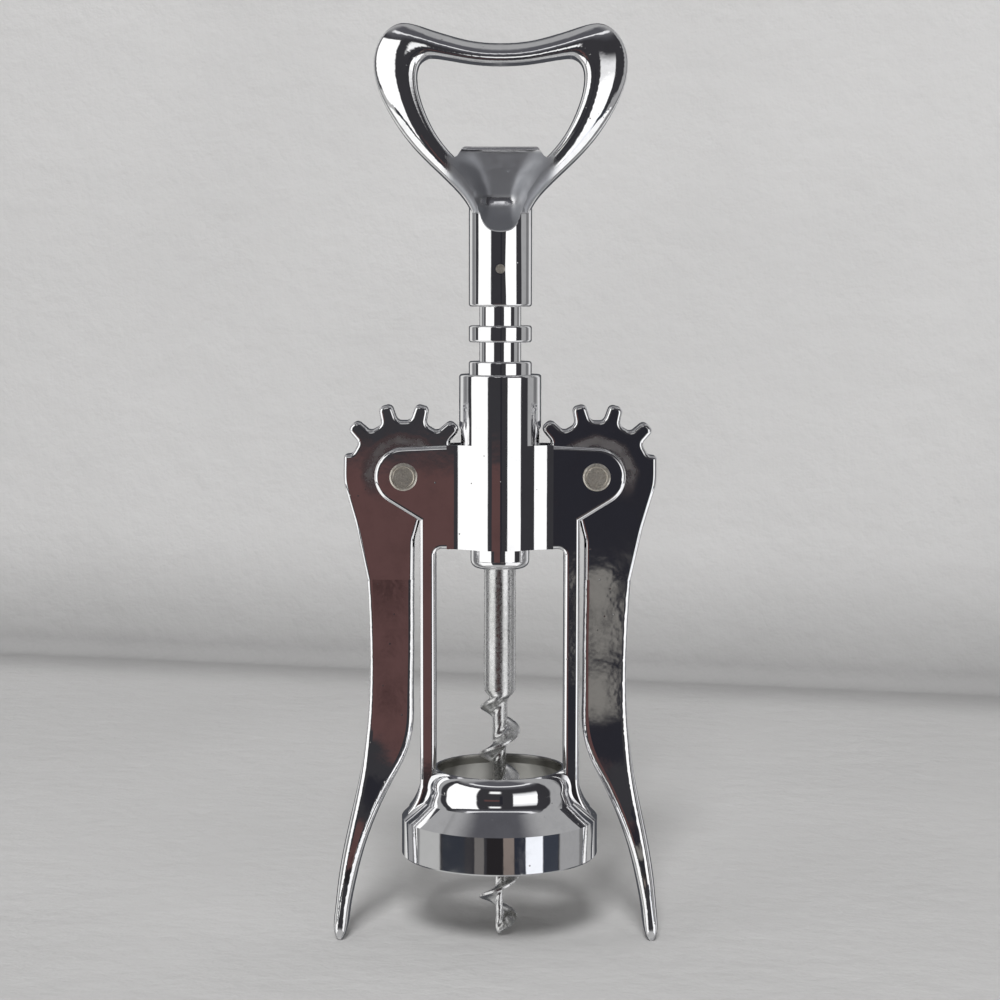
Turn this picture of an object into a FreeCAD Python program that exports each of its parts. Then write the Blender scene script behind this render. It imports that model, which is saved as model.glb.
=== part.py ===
import FreeCAD, Part
import math
import os
from FreeCAD import Vector

# Wing corkscrew with a bottle-opener handle, in millimetres.
# +Z is up and -Y is the front. The origin lies midway between the tips of the two lowered wings, on the
# surface that they stand on. The screw runs on the Z axis, and the wings turn about axes along Y.

# ---- driving dimensions -------------------------------------------------------------------------

# rack and gear sectors
RING_PITCH = 6.83           # from one rack ring to the next
RING_WIDTH = 3.2            # height of one ring
RING_RADIUS = 6.05          # outside of the rings, and of the handle's neck
GROOVE_RADIUS = 4.0         # bottom of the grooves between the rings
RING_EDGE = 0.45            # rounding of a ring's edges
RINGS_ABOVE_PIVOT = 4       # full rings above the one that is level with the pivots
PITCH_LINE_DEPTH = 0.57     # how far the rack's pitch line lies inside the rings' outside
TEETH_PER_TURN = 12         # teeth that a full gear would have
TEETH = 6                   # teeth on the sector
FIRST_TOOTH = -15.0         # degrees above the line from the pivot to the rack
TOOTH_ADDENDUM = 0.98       # tip beyond the pitch circle
TOOTH_DEDENDUM = 2.38       # root inside the pitch circle
TOOTH_PLAY = 1.03           # between a tooth's tip and the two rings beside it, together
TOOTH_TIP_ROUND = 1.05
GAP_WIDTH = 2.5             # bottom of the space between two teeth
GAP_ROUND = 1.15

# wings
LEVER_DROP = 90.7           # from the pivot down to the tip of a lowered wing
LEVER_THICKNESS = 4.7       # hub and gear, between the ears
LEVER_EDGE = 0.75           # rounding of the long edges
WING_PLAY = 0.9             # degrees that the right wing hangs further in, within the teeth's play
PADDLE_WIDTH = 10.6         # front to back, where the wing is pressed
TIP_X = -12.63              # middle of the flat end that the wing stands on, from the pivot
TIP_WIDTH = 1.0
SHOULDER_REACH = 11.55      # widest point of the wing's hub, outwards from the pivot

# frame: body and legs
BODY_HEIGHT = 20.0
BODY_THICKNESS = 8.0
BODY_HALF_WIDTH = 15.4      # to the outside of a leg
EAR_RADIUS = 5.6
EAR_SLOPE = 0.5             # how much the body's top falls towards the ears
BODY_SHOULDER = 14.6        # height of the body above the lower end of the ear's slanted edge
PLATE_EDGE = 0.8            # rounding of the body's and legs' long edges
WINDOW_EDGE = 0.8           # rounding of the edges around the window
WINDOW_CORNER = 1.2
WINDOW_HEIGHT = 43.15       # from the bell's rim to the body
LEG_WIDTH = 3.0
COLLAR_RADIUS = 7.9
COLLAR_HEIGHT = 13.5        # above the body
COLLAR_EDGE = 0.5
BOSS_FILLET = 7.5           # hollow that runs from the boss out to the ears

# frame: bell
BELL_RADIUS = 19.1
BELL_BAND = 7.4             # height of the straight band at the mouth
BELL_CONE_ANGLE = 45.0      # degrees from upright, between the band and the waist
BELL_WAIST_RADIUS = 14.5
BELL_WAIST_HOLLOW = 3.5     # radius of the hollow between waist and cone
BELL_RIM_RADIUS = 12.7
BELL_RIM_HEIGHT = 3.6       # from the waist up to the rim
BELL_WALL = 1.9             # at the mouth
BELL_SEAT_DEPTH = 6.3       # from the mouth up to the shoulder that meets a bottle's lip
BELL_SEAT_WIDTH = 2.8
BELL_RIM_WALL = 0.5
BELL_EDGE = 0.35
LEG_FOOT = 0.62             # where the legs' feet run out on the bell's cone, from its top to the band
FOOT_HOLLOW = 0.6           # how far the feet's outer edge curves in
FOOT_SUNK = 1.0             # how far the feet reach into the bell

# rivets
RIVET_RADIUS = 1.75
RIVET_HEAD_RADIUS = 2.65
RIVET_HEAD_HEIGHT = 0.75
RIVET_BEVEL = 0.3
RIVET_DISH = 0.18           # how deep the headed end is dished
RIVET_RIM = 0.75            # width of the rim around the dish

# screw and its nut
SHANK_RADIUS = 3.05
SPINDLE_RADIUS = 2.5        # thinner part that runs up through the rack
NUT_UNDERCUT = 0.35         # how much thinner the nut is than the rings
NUT_BELOW_BODY = 4.0        # how far the nut shows under the body
NUT_IN_BODY = 1.0           # how far it reaches up into the bore
NUT_ROUND = 1.6
SHANK_LENGTH = 23.9         # round part below the nut
SHANK_TAPER = 2.2           # height of the taper below it
SHANK_STEP = 0.1            # small ledge where the taper begins
SHANK_LAP = 0.8             # how far the threaded part is carried up inside the shank
WORM_RADIUS = 3.9           # outside of the thread
WORM_PITCH = 9.45
WORM_CORE_RADIUS = 1.6      # core at the top of the thread
WORM_CORE_END_RADIUS = 0.55
WORM_TIP_HEIGHT = 0.4       # point of the screw above the standing surface
WORM_TIP_TAPER = 4.6        # height over which the thread runs out to the point
WORM_POINT = 0.08           # how blunt the point is, as a share of the full thread
THREAD_ROOT = 3.8           # axial thickness of the thread at its root, top turn
THREAD_ROOT_END = 1.5       # the same at the last turn
THREAD_CREST = 0.5
THREAD_RIGHT_HEIGHT = 3.2   # a height at which the thread is at its furthest to +X
THREAD_FLANK = (0.0, 0.3, 0.6, 1.0)     # where a flank is measured, as shares from crest to root
THREAD_HOLLOW = 1.5         # 1 for straight flanks, more for hollow ones
CORE_POINTS = 3             # further points, from a flank's root to the middle of the core
SECTIONS_PER_TURN = 12

# handle
NECK_LENGTH = 17.7          # from the neck's lower edge to where the loop leaves it
NECK_EDGE = 0.5
NECK_SHOULDER = 1.6         # rounding of the neck's upper end, inside the bars
NECK_RISE = 2.3             # how far the neck goes on above where the loop leaves it
LOOP_HALF_WIDTH = 24.0
LOOP_HEIGHT = 35.9          # from where the loop leaves the neck to its top
LOOP_THICKNESS = 7.2        # front to back, halfway up
WEB_THICKNESS = 3.4         # in the middle, where it is thinnest
WEB_TOP = 0.351             # top of the lip, as a share of the loop's height
WEB_FOOT = 1.0              # where the web begins, above where the loop leaves the neck
LIP_HALF_LENGTH = 7.0
LIP_HEIGHT = 1.9            # above the notches beside it
LIP_SLOPE = 1.3             # how much the lip's ends lean out
LIP_ROUND = 0.9             # rounding of its upper corners
NOTCH_X = 9.6               # middle of the notches between lip and bars
NOTCH_RADIUS = 1.0
TONGUE_HALF_WIDTH = 4.9     # tongue-shaped hollow in the neck, which runs up into the web's face
TONGUE_DEPTH = 0.1114       # its lower end below where the loop leaves the neck, as a share of LOOP_HEIGHT
TONGUE_ROUND = 3.4
PIN_RADIUS = 0.87
PIN_HEIGHT = 7.1            # above the neck's lower edge
SPINDLE_SOCKET = 13.2       # depth of the neck's bore

# fits
SLIDING_FIT = 0.08          # rack and neck in the body's bore, on the radius
RUNNING_FIT = 0.05          # wing on its rivet and rack on its spindle, on the radius
SEAT_FIT = 0.03             # fixed pieces in their holes, on the radius
SIDE_PLAY = 0.1             # wing between the ears, and rack between nut and neck
TOOTH_CLEARANCE = 0.25      # gear tips in the frame's slot

# ---- worked out from them -----------------------------------------------------------------------

GEAR_PITCH_RADIUS = TEETH_PER_TURN * RING_PITCH / (2 * math.pi)
GEAR_TIP_RADIUS = GEAR_PITCH_RADIUS + TOOTH_ADDENDUM
GEAR_ROOT_RADIUS = GEAR_PITCH_RADIUS - TOOTH_DEDENDUM
TOOTH_STEP = 360.0 / TEETH_PER_TURN
TOOTH_TIP_WIDTH = RING_PITCH - RING_WIDTH - TOOTH_PLAY
PIVOT_X = RING_RADIUS - PITCH_LINE_DEPTH + GEAR_PITCH_RADIUS
SAGGING_TIP = math.hypot(LEVER_DROP, TIP_X - TIP_WIDTH / 2)
SAG_ANGLE = math.atan2(TIP_WIDTH / 2 - TIP_X, LEVER_DROP) - math.radians(WING_PLAY)
PIVOT_Z = SAGGING_TIP * math.cos(SAG_ANGLE)
BODY_TOP = PIVOT_Z + EAR_RADIUS + EAR_SLOPE
BODY_BOTTOM = BODY_TOP - BODY_HEIGHT
COLLAR_TOP = BODY_TOP + COLLAR_HEIGHT
BORE_RADIUS = RING_RADIUS + SLIDING_FIT
RIM_Z = BODY_BOTTOM - WINDOW_HEIGHT
WAIST_Z = RIM_Z - BELL_RIM_HEIGHT
SLOT_HALF = LEVER_THICKNESS / 2 + SIDE_PLAY
NECK_Z = PIVOT_Z + (RINGS_ABOVE_PIVOT + 1) * RING_PITCH - RING_WIDTH / 2
NUT_RADIUS = RING_RADIUS - NUT_UNDERCUT
NUT_BOTTOM = BODY_BOTTOM - NUT_BELOW_BODY
NUT_TOP = BODY_BOTTOM + NUT_IN_BODY
RACK_BOTTOM = NUT_TOP + SIDE_PLAY
RACK_TOP = NECK_Z - SIDE_PLAY
SHANK_TOP = NUT_TOP - SIDE_PLAY
SHANK_BOTTOM = NUT_BOTTOM - SHANK_LENGTH
PIN_Z = NECK_Z + PIN_HEIGHT
LOOP_Z = NECK_Z + NECK_LENGTH
LIP_TOP = LOOP_Z + WEB_TOP * LOOP_HEIGHT
NOTCH_Z = LIP_TOP - LIP_HEIGHT
SOCKET_TOP = NECK_Z + SPINDLE_SOCKET

UP = Vector(0, 0, 1)
BACK = Vector(0, 1, 0)
MIDDLE = Vector(0, 0, 0)


# ---- helpers ------------------------------------------------------------------------------------

def in_front_plane(u, v, y=0.0):
    return Vector(u, y, v)


def rounded_edges(corners, place=in_front_plane):
    """Closed chain of edges through (u, v, radius) corners, each corner rounded with its own radius."""
    flat = [(Vector(u, v, 0), radius) for u, v, radius in corners]
    spans = []
    for i, (corner, radius) in enumerate(flat):
        back = (flat[i - 1][0] - corner).normalize()
        on = (flat[(i + 1) % len(flat)][0] - corner).normalize()
        if radius == 0:
            spans.append((corner, None, corner))
            continue
        half = math.acos(max(-1.0, min(1.0, back.dot(on)))) / 2
        reach = radius / math.tan(half)
        inward = (back + on).normalize()
        crown = corner + inward * (radius / math.sin(half) - radius)
        spans.append((corner + back * reach, crown, corner + on * reach))
    edges = []
    for i, (start, crown, end) in enumerate(spans):
        if crown is not None:
            through = [place(p.x, p.y) for p in (start, crown, end)]
            edges.append(Part.Arc(*through).toShape())
        following = spans[(i + 1) % len(spans)][0]
        if end.distanceToPoint(following) > 1e-6:
            edges.append(Part.LineSegment(place(end.x, end.y), place(following.x, following.y)).toShape())
    return edges


def outline(edges):
    return Part.Wire(Part.__sortEdges__(edges))


def plate(edges, thickness):
    """Plate of an outline drawn in the front plane, centred front to back."""
    face = Part.Face(outline(edges))
    face.translate(Vector(0, -thickness / 2, 0))
    return face.extrude(Vector(0, thickness, 0))


def turned(edges):
    """Solid of revolution about Z from a profile drawn in the front plane, at x >= 0."""
    return Part.Face(outline(edges)).revolve(MIDDLE, UP, 360)


def rod(radius, bottom, top, x=0.0):
    return Part.makeCylinder(radius, top - bottom, Vector(x, 0, bottom), UP)


def cross_rod(radius, length, x, z):
    """Rod along Y, centred front to back."""
    return Part.makeCylinder(radius, length, Vector(x, -length / 2, z), BACK)


def eased(share):
    """0 below 0 and 1 above 1, with a smooth run in between."""
    share = max(0.0, min(1.0, share))
    return share * share * (3 - 2 * share)


def skinned(rings):
    """Solid whose smooth side passes through closed rings of points, closed by a flat cap at each end."""
    middle = rings[len(rings) // 2]
    steps = [point.distanceToPoint(middle[i - 1]) for i, point in enumerate(middle)][1:]
    stations = [0.0]
    for step in steps + [middle[-1].distanceToPoint(middle[0])]:
        stations.append(stations[-1] + step)
    rows = []
    for ring in rings:
        around = Part.BSplineCurve()
        around.interpolate(Points=ring, PeriodicFlag=True, Parameters=stations)
        rows.append(around)
    columns = []
    for poles in zip(*[row.getPoles() for row in rows]):
        along = Part.BSplineCurve()
        along.interpolate(Points=list(poles), Parameters=[float(i) for i in range(len(poles))])
        columns.append(along)
    surface = Part.BSplineSurface()
    surface.buildFromPolesMultsKnots(
        [column.getPoles() for column in columns],
        around.getMultiplicities(), along.getMultiplicities(),
        around.getKnots(), along.getKnots(), True, False, 3, 3)
    side = surface.toShape()
    caps = [Part.Face(Part.Wire(rows[i].toShape())) for i in (0, -1)]
    shell = Part.makeShell([side] + caps)
    shell.sewShape()
    solid = Part.Solid(shell)
    if solid.Volume < 0:
        solid.reverse()
    return solid


def in_between(rows, count):
    """Evenly spaced rows of numbers along a smooth run through a few given rows, six numbers each."""
    stations = [0.0]
    for row, following in zip(rows, rows[1:]):
        stations.append(stations[-1] + math.hypot(following[0] - row[0], following[1] - row[1]))
    curves = []
    for i in (0, 2, 4):
        points = [Vector(station, row[i], row[i + 1]) for station, row in zip(stations, rows)]
        curve = Part.BSplineCurve()
        curve.interpolate(Points=points, Parameters=stations)
        curves.append(curve)
    even = []
    for i in range(count):
        found = [curve.value(stations[-1] * i / (count - 1)) for curve in curves]
        even.append([number for point in found for number in (point.y, point.z)])
    return even


def mirrored(shape):
    return shape.mirror(MIDDLE, Vector(1, 0, 0))


def tangent_point(centre, radius, outside, side):
    """Where a line from a point outside a circle touches it; side is +1 or -1."""
    away = outside - centre
    turn = side * math.acos(radius / away.Length)
    angle = math.atan2(away.y, away.x) + turn
    return centre + Vector(radius * math.cos(angle), radius * math.sin(angle), 0)


def long_edges(shape, half, keep):
    """Edges that lie in the front or back face of a plate, and whose middle passes the test keep(x, z)."""
    found = []
    for edge in shape.Edges:
        box = edge.BoundBox
        if box.YLength < 1e-6 and abs(abs(box.YMin) - half) < 1e-6:
            middle = edge.valueAt((edge.FirstParameter + edge.LastParameter) / 2)
            if keep(middle.x, middle.z):
                found.append(edge)
    return found


def one_solid(shape):
    """The shape as a single solid, which it has to be."""
    assert len(shape.Solids) == 1, len(shape.Solids)
    return shape.Solids[0]


# ---- frame --------------------------------------------------------------------------------------

def body_and_legs():
    """The flat body with its ears, and the legs down to the bell, as one plate with rounded edges."""
    pivot = Vector(PIVOT_X, PIVOT_Z, 0)
    top_start = Vector(COLLAR_RADIUS, BODY_TOP, 0)
    corner = Vector(BODY_HALF_WIDTH, BODY_TOP - BODY_SHOULDER, 0)
    upper = tangent_point(pivot, EAR_RADIUS, top_start, -1)
    lower = tangent_point(pivot, EAR_RADIUS, corner, 1)
    inner = BODY_HALF_WIDTH - LEG_WIDTH
    foot_x, foot_z = bell_cone_point(LEG_FOOT)

    half = [
        Part.LineSegment(in_front_plane(0, BODY_TOP), in_front_plane(top_start.x, BODY_TOP)).toShape(),
        Part.LineSegment(in_front_plane(top_start.x, BODY_TOP), in_front_plane(upper.x, upper.y)).toShape(),
        Part.Arc(in_front_plane(upper.x, upper.y), in_front_plane(PIVOT_X + EAR_RADIUS, PIVOT_Z),
                 in_front_plane(lower.x, lower.y)).toShape(),
    ]
    path = [
        (lower.x, lower.y),
        (corner.x, corner.y),
        (BODY_HALF_WIDTH, WAIST_Z + BELL_RIM_HEIGHT / 2),
        (foot_x, foot_z),
        (foot_x, foot_z - FOOT_SUNK),
        (inner, foot_z - FOOT_SUNK),
        (inner, BODY_BOTTOM - WINDOW_CORNER),
    ]
    for start, end in zip(path, path[1:]):
        if end[0] == foot_x and start[0] != foot_x:
            run = in_front_plane(*end) - in_front_plane(*start)
            inward = Vector(run.z, 0, -run.x).normalize() * FOOT_HOLLOW
            middle = (in_front_plane(*start) + in_front_plane(*end)) * 0.5 + inward
            half.append(Part.Arc(in_front_plane(*start), middle, in_front_plane(*end)).toShape())
        else:
            half.append(Part.LineSegment(in_front_plane(*start), in_front_plane(*end)).toShape())
    bend = WINDOW_CORNER * (1 - math.sqrt(0.5))
    half.append(Part.Arc(in_front_plane(inner, BODY_BOTTOM - WINDOW_CORNER),
                         in_front_plane(inner - bend, BODY_BOTTOM - bend),
                         in_front_plane(inner - WINDOW_CORNER, BODY_BOTTOM)).toShape())
    half.append(Part.LineSegment(in_front_plane(inner - WINDOW_CORNER, BODY_BOTTOM),
                                 in_front_plane(0, BODY_BOTTOM)).toShape())
    shape = plate(half + [mirrored(edge) for edge in half], BODY_THICKNESS)

    def beside_window(x, z):
        return abs(x) < inner + 0.01 and foot_z < z < BODY_BOTTOM + 0.01

    def outside(x, z):
        return not beside_window(x, z) and z > foot_z + 0.01

    shape = shape.makeFillet(WINDOW_EDGE, long_edges(shape, BODY_THICKNESS / 2, beside_window))
    return shape.makeFillet(PLATE_EDGE, long_edges(shape, BODY_THICKNESS / 2, outside))


def boss():
    """Round boss around the bore, with a hollow fillet out to the ears on both faces."""
    depth = BODY_THICKNESS / 2
    reach = COLLAR_RADIUS + BOSS_FILLET
    centre_x = math.sqrt(reach ** 2 - (depth + BOSS_FILLET) ** 2)
    touch = Vector(centre_x, depth + BOSS_FILLET, 0) * (COLLAR_RADIUS / reach)
    turn = math.atan2(centre_x - touch.x, depth + BOSS_FILLET - touch.y) / 2
    hollow = Vector(centre_x - BOSS_FILLET * math.sin(turn),
                    depth + BOSS_FILLET - BOSS_FILLET * math.cos(turn), 0)

    def at(x, y):
        return Vector(x, y, BODY_BOTTOM)

    edges = []
    for face in (-1, 1):
        edges.append(Part.Arc(at(touch.x, face * touch.y), at(0, face * COLLAR_RADIUS),
                              at(-touch.x, face * touch.y)).toShape())
        for side in (-1, 1):
            edges.append(Part.Arc(at(side * touch.x, face * touch.y), at(side * hollow.x, face * hollow.y),
                                  at(side * centre_x, face * depth)).toShape())
    for side in (-1, 1):
        edges.append(Part.LineSegment(at(side * centre_x, -depth), at(side * centre_x, depth)).toShape())
    return Part.Face(outline(edges)).extrude(UP * BODY_HEIGHT)


def bell_heights():
    """Where the bell's hollow ends and its cone begins, and the heights of band, mouth and seat."""
    cone = math.radians(BELL_CONE_ANGLE)
    hollow_x = BELL_WAIST_RADIUS + BELL_WAIST_HOLLOW * (1 - math.cos(cone))
    hollow_z = WAIST_Z - BELL_WAIST_HOLLOW * math.sin(cone)
    band_top = hollow_z - (BELL_RADIUS - hollow_x) / math.tan(cone)
    mouth = band_top - BELL_BAND
    return hollow_x, hollow_z, band_top, mouth, mouth + BELL_SEAT_DEPTH


def bell_cone_point(share):
    """Point on the bell's cone, from its top (0) to the band (1)."""
    hollow_x, hollow_z, band_top, _, _ = bell_heights()
    return hollow_x + (BELL_RADIUS - hollow_x) * share, hollow_z + (band_top - hollow_z) * share


def bell():
    """Outside of the bell: straight band, cone, hollow waist and rolled shoulder up to the rim."""
    hollow_x, hollow_z, band_top, mouth, _ = bell_heights()
    mid = math.radians(BELL_CONE_ANGLE) / 2
    waist_arc = Part.Arc(
        in_front_plane(hollow_x, hollow_z),
        in_front_plane(BELL_WAIST_RADIUS + BELL_WAIST_HOLLOW * (1 - math.cos(mid)),
                       WAIST_Z - BELL_WAIST_HOLLOW * math.sin(mid)),
        in_front_plane(BELL_WAIST_RADIUS, WAIST_Z)).toShape()
    roll_in = BELL_WAIST_RADIUS - BELL_RIM_RADIUS
    roll_angle = 2 * math.atan2(roll_in, BELL_RIM_HEIGHT)
    roll = BELL_RIM_HEIGHT / math.sin(roll_angle)
    shoulder_arc = Part.Arc(
        in_front_plane(BELL_WAIST_RADIUS, WAIST_Z),
        in_front_plane(BELL_WAIST_RADIUS - roll * (1 - math.cos(roll_angle / 2)),
                       WAIST_Z + roll * math.sin(roll_angle / 2)),
        in_front_plane(BELL_RIM_RADIUS, RIM_Z)).toShape()
    path = [
        (BELL_RIM_RADIUS, RIM_Z),
        (0, RIM_Z),
        (0, mouth),
        (BELL_RADIUS - BELL_EDGE, mouth),
        (BELL_RADIUS, mouth + BELL_EDGE),
        (BELL_RADIUS, band_top),
        (hollow_x, hollow_z),
    ]
    edges = [waist_arc, shoulder_arc]
    for start, end in zip(path, path[1:]):
        edges.append(Part.LineSegment(in_front_plane(*start), in_front_plane(*end)).toShape())
    return turned(edges)


def bell_hollow():
    """Inside of the bell: mouth, seat for a bottle's lip, and the throat up through the rim."""
    _, _, _, mouth, seat = bell_heights()
    mouth_radius = BELL_RADIUS - BELL_WALL
    throat = BELL_RIM_RADIUS - BELL_RIM_WALL
    return turned(rounded_edges([
        (0, mouth - 1, 0),
        (mouth_radius, mouth - 1, 0),
        (mouth_radius, seat, 0),
        (mouth_radius - BELL_SEAT_WIDTH, seat, 0),
        (throat, WAIST_Z + BELL_RIM_HEIGHT / 2, 0),
        (throat, RIM_Z + 1, 0),
        (0, RIM_Z + 1, 0),
    ]))


def collar():
    edges = rounded_edges([
        (0, BODY_BOTTOM, 0),
        (COLLAR_RADIUS, BODY_BOTTOM, 0),
        (COLLAR_RADIUS, COLLAR_TOP, COLLAR_EDGE),
        (0, COLLAR_TOP, 0),
    ])
    return turned(edges)


def frame():
    shape = body_and_legs().fuse([boss(), collar(), bell()])
    tools = [rod(BORE_RADIUS, BODY_BOTTOM - 1, COLLAR_TOP + 1), bell_hollow()]
    for side in (-1, 1):
        x = side * PIVOT_X
        tools.append(cross_rod(GEAR_TIP_RADIUS + TOOTH_CLEARANCE, 2 * SLOT_HALF, x, PIVOT_Z))
        tools.append(cross_rod(RIVET_RADIUS + SEAT_FIT, 2 * BODY_THICKNESS, x, PIVOT_Z))
    return one_solid(shape.cut(tools))


# ---- rivets -------------------------------------------------------------------------------------

def rivet():
    """Rivet along Z about the origin: a shank between two headed ends, each with a shallow dish."""
    half = BODY_THICKNESS / 2
    top = half + RIVET_HEAD_HEIGHT
    dish = RIVET_HEAD_RADIUS - RIVET_RIM
    upper = [
        (RIVET_RADIUS, half),
        (RIVET_HEAD_RADIUS, half),
        (RIVET_HEAD_RADIUS, top - RIVET_BEVEL),
        (RIVET_HEAD_RADIUS - RIVET_BEVEL, top),
        (dish + RIVET_DISH, top),
        (dish, top - RIVET_DISH),
        (0, top - RIVET_DISH),
    ]
    corners = [(0, -top + RIVET_DISH, 0)]
    corners += [(x, -z, 0) for x, z in reversed(upper[:-1])]
    corners += [(x, z, 0) for x, z in upper]
    return turned(rounded_edges(corners))


def rivet_at(side):
    shape = rivet()
    shape.rotate(MIDDLE, Vector(1, 0, 0), 90)
    shape.translate(Vector(side * PIVOT_X, 0, PIVOT_Z))
    return shape


# ---- wings --------------------------------------------------------------------------------------
# A wing is drawn about its own pivot, with the rack towards +X, and then moved to the left pivot.

def polar(radius, degrees, offset=0.0):
    """Point at a radius and angle, moved sideways by offset, anticlockwise."""
    angle = math.radians(degrees)
    return (radius * math.cos(angle) - offset * math.sin(angle),
            radius * math.sin(angle) + offset * math.cos(angle))


def gear_corners():
    """Corners of the toothed edge, from the lowest tooth round to the last one."""
    corners = []
    for i in range(TEETH):
        angle = FIRST_TOOTH + i * TOOTH_STEP
        for side in (-1, 1):
            corners.append((*polar(GEAR_TIP_RADIUS, angle, side * TOOTH_TIP_WIDTH / 2), TOOTH_TIP_ROUND))
        gap = angle + TOOTH_STEP / 2
        for side in (-1, 1):
            corners.append((*polar(GEAR_ROOT_RADIUS, gap, side * GAP_WIDTH / 2), GAP_ROUND))
    return corners


RIM_SHARE = 0.628997        # how far down a wing the bell's rim lies, where the wing bends round it
BEND_SHARE = 0.701          # how far down it has passed the bell's band


def down(share):
    """Height of a place on the wing: level with the same place of the bell as far as the band, and
    spread over the rest of the drop from there to the tip."""
    beside_bell = (PIVOT_Z - RIM_Z) / RIM_SHARE
    bend = BEND_SHARE * beside_bell
    if share <= BEND_SHARE:
        return -share * beside_bell
    return -bend - (share - BEND_SHARE) / (1 - BEND_SHARE) * (LEVER_DROP - bend)


# stations down the wing from the hub to the tip: centre x, height below the pivot, width in the front
# plane, lean of the section in degrees, front-to-back size as a share of the paddle's, and how far the
# corners are rounded, as a share of each half size
ARM_STATIONS = [
    (-2.62, down(0.221), 8.95, 0.0, 0.443, 0.22),
    (-2.41, down(0.356), 8.45, 0.0, 0.45, 0.23),
    (-2.55, down(0.483), 8.55, 1.0, 0.50, 0.26),
    (-2.90, down(0.548), 8.80, 5.0, 0.54, 0.30),
    (-3.70, down(0.589), 8.25, 13.0, 0.59, 0.36),
    (-5.08, down(0.635), 6.80, 18.5, 0.66, 0.46),
    (-7.15, down(0.701), 5.20, 19.0, 0.80, 0.60),
    (-9.60, down(0.790), 4.05, 15.5, 0.95, 0.74),
    (-11.31, down(0.877), 3.40, 10.0, 1.00, 0.80),
    (-12.32, down(0.954), 2.90, 5.0, 0.95, 0.76),
    (-12.60, down(0.990), 2.00, 2.0, 0.80, 0.66),
    (TIP_X, down(1.0), TIP_WIDTH, 0.0, 0.66, 0.60),
]
ARM_SECTIONS = 24


def arm_section(x, z, width, lean, spread, softness):
    """Section across the wing: a rectangle with soft corners, square to the wing's own run."""
    centre = Vector(x, 0, z)
    angle = math.radians(lean)
    along = Vector(math.cos(angle), 0, -math.sin(angle))
    half_u = width / 2
    half_y = spread * PADDLE_WIDTH / 2
    soft_u = softness * half_u
    soft_y = softness * half_y

    def at(u, y):
        return centre + along * u + BACK * y

    edges = []
    corners = [(1, -1), (1, 1), (-1, 1), (-1, -1)]
    for i, (su, sy) in enumerate(corners):
        corner = at(su * half_u, sy * half_y)
        on_side = at(su * half_u, sy * (half_y - soft_y))
        on_face = at(su * (half_u - soft_u), sy * half_y)
        first, last = (on_face, on_side) if i % 2 == 0 else (on_side, on_face)
        bend = Part.BezierCurve()
        bend.setPoles([first, corner, last])
        edges.append(bend.toShape())
        nu, ny = corners[(i + 1) % 4]
        if i % 2 == 0:
            following = at(nu * half_u, ny * (half_y - soft_y))
        else:
            following = at(nu * (half_u - soft_u), ny * half_y)
        edges.append(Part.LineSegment(last, following).toShape())
    return Part.Wire(edges)


def hub_plate():
    """Hub with its gear sector, down to where the arm's sections begin."""
    first_x, end, first_width = ARM_STATIONS[0][:3]
    outer_end = first_x - first_width / 2
    inner_end = first_x + first_width / 2
    corners = gear_corners()
    corners += [
        (-SHOULDER_REACH, 4.1, 0.7),
        (-SHOULDER_REACH - 0.1, -1.2, 12.0),
        (-9.2, -9.9, 30.0),
        (outer_end, end, 0),
        (inner_end, end, 0),
        (inner_end + 0.1, -12.4, 6.0),
        (3.1, -8.4, 1.2),
        (7.4, -6.2, 3.0),
    ]
    shape = plate(rounded_edges(corners), LEVER_THICKNESS)

    def around(x, z):
        return z > end + 0.01

    return shape.makeFillet(LEVER_EDGE, long_edges(shape, LEVER_THICKNESS / 2, around))


def right_lever(left):
    shape = mirrored(left)
    shape.rotate(Vector(PIVOT_X, 0, PIVOT_Z), BACK, WING_PLAY)
    return shape


def lever():
    stations = in_between(ARM_STATIONS, ARM_SECTIONS)
    arm = Part.makeLoft([arm_section(*station) for station in stations], True, False)
    shape = hub_plate().fuse(arm).cut(cross_rod(RIVET_RADIUS + RUNNING_FIT, 2 * LEVER_THICKNESS, 0, 0))
    shape = one_solid(shape)
    shape.translate(Vector(-PIVOT_X, 0, PIVOT_Z))
    return shape


# ---- rack, screw and nut ------------------------------------------------------------------------

def rack():
    """Sleeve with rings all round: both gear sectors run in its grooves while it turns or stands."""
    bore = SPINDLE_RADIUS + RUNNING_FIT
    corners = [(bore, RACK_BOTTOM, 0), (RING_RADIUS, RACK_BOTTOM, RING_EDGE)]
    for ring in range(-1, RINGS_ABOVE_PIVOT + 1):
        middle = PIVOT_Z + ring * RING_PITCH
        if ring > -1:
            corners.append((GROOVE_RADIUS, middle - RING_WIDTH / 2, 0))
            corners.append((RING_RADIUS, middle - RING_WIDTH / 2, RING_EDGE))
        corners.append((RING_RADIUS, middle + RING_WIDTH / 2, RING_EDGE))
        corners.append((GROOVE_RADIUS, middle + RING_WIDTH / 2, 0))
    corners += [(GROOVE_RADIUS, RACK_TOP, 0), (bore, RACK_TOP, 0)]
    return turned(rounded_edges(corners))


def worm_nut():
    bore = SHANK_RADIUS + SEAT_FIT
    return turned(rounded_edges([
        (bore, NUT_BOTTOM, 0),
        (NUT_RADIUS, NUT_BOTTOM, NUT_ROUND),
        (NUT_RADIUS, NUT_TOP, 0.3),
        (bore, NUT_TOP, 0),
    ]))


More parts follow.
